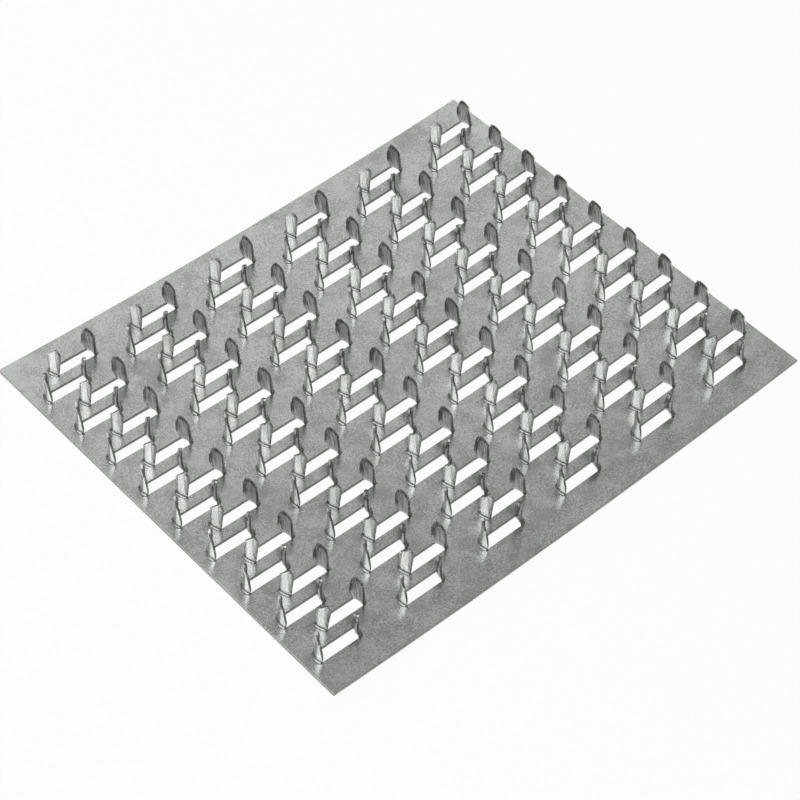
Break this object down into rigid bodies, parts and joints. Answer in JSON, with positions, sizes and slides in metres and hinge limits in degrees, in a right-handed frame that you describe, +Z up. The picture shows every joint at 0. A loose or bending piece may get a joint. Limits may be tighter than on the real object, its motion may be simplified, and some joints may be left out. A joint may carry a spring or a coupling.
{
  "type": "truss nail plate",
  "caption": "Galvanised steel timber connector plate, slightly bowed, with staggered slots and gutter-shaped teeth bent up at both ends of every slot.",
  "frame": {"origin": "middle of the sheet, on the lowest line of its underside", "axes": "+X along the slots and the longer side of the sheet, +Y across the rows of slots, +Z up through the teeth"},
  "size_m": [0.1524, 0.127, 0.0113],
  "materials": {
    "galvanised_steel": "mottled zinc coating, satin, with fine handling marks"
  },
  "bodies": {
    "root": {"nail_plate": "galvanised_steel"}
  },
  "joints": []
}
